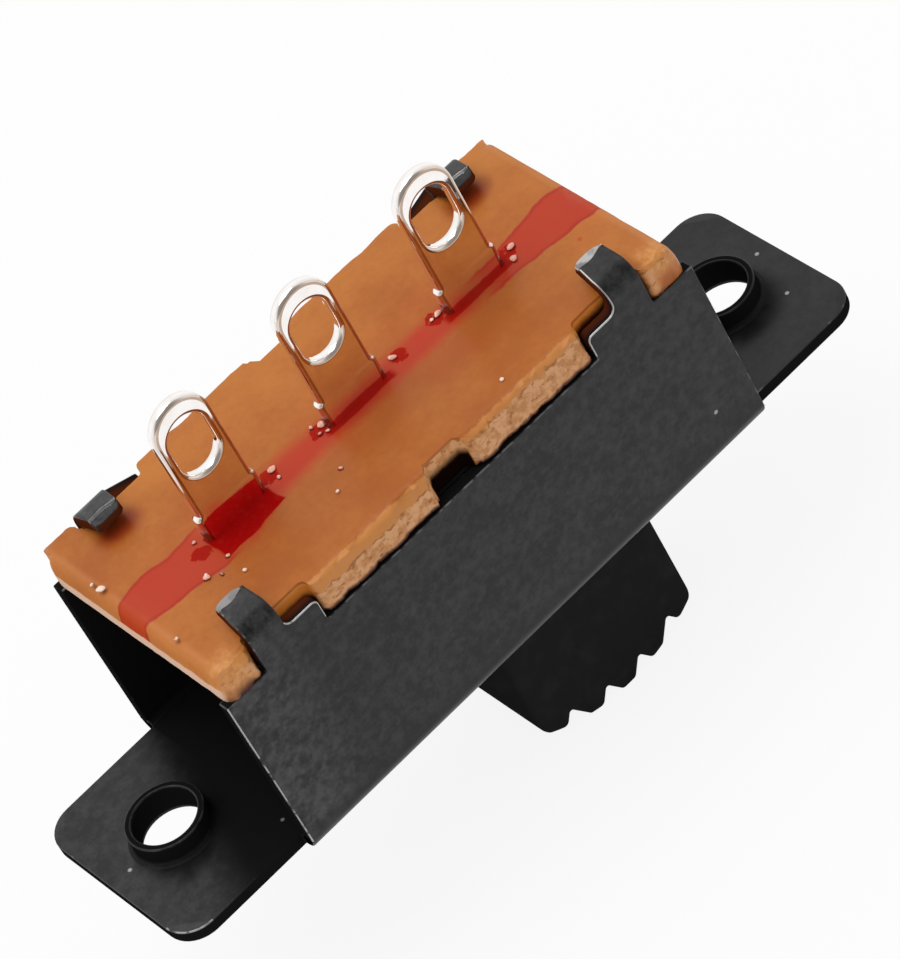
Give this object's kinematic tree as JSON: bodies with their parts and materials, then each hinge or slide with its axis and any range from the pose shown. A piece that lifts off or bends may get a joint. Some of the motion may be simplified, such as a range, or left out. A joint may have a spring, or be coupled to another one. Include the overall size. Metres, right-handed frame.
{
  "type": "slide switch",
  "caption": "Panel-mount slide switch: folded black steel frame with screw ears, phenolic terminal board with eyed solder lugs, and a ribbed sliding knob.",
  "frame": {"origin": "centre of the mounting face, midway between the two screw holes", "axes": "+X along the slider's travel and the row of terminals, +Z out of the back towards the solder lugs, the knob points to -Z"},
  "size_m": [0.0346, 0.0108, 0.0234],
  "materials": {
    "black_steel": "thin satin black over rolled sheet",
    "phenolic": "polished paper laminate with rough punched edges",
    "tinned_brass": "bright tin plate",
    "black_plastic": "moulded, matte",
    "bronze": "rolled strip"
  },
  "bodies": {
    "housing": {"frame": "black_steel", "terminal_board": "phenolic", "terminal_left": "tinned_brass", "terminal_centre": "tinned_brass", "terminal_right": "tinned_brass"},
    "actuator": {"slider": "black_plastic", "moving_contact": "bronze"}
  },
  "joints": [
    {"name": "knob_slide", "type": "slide", "parent": "housing", "child": "actuator", "axis": [1, 0, 0], "range_m": [-0.0051, 0]}
  ]
}
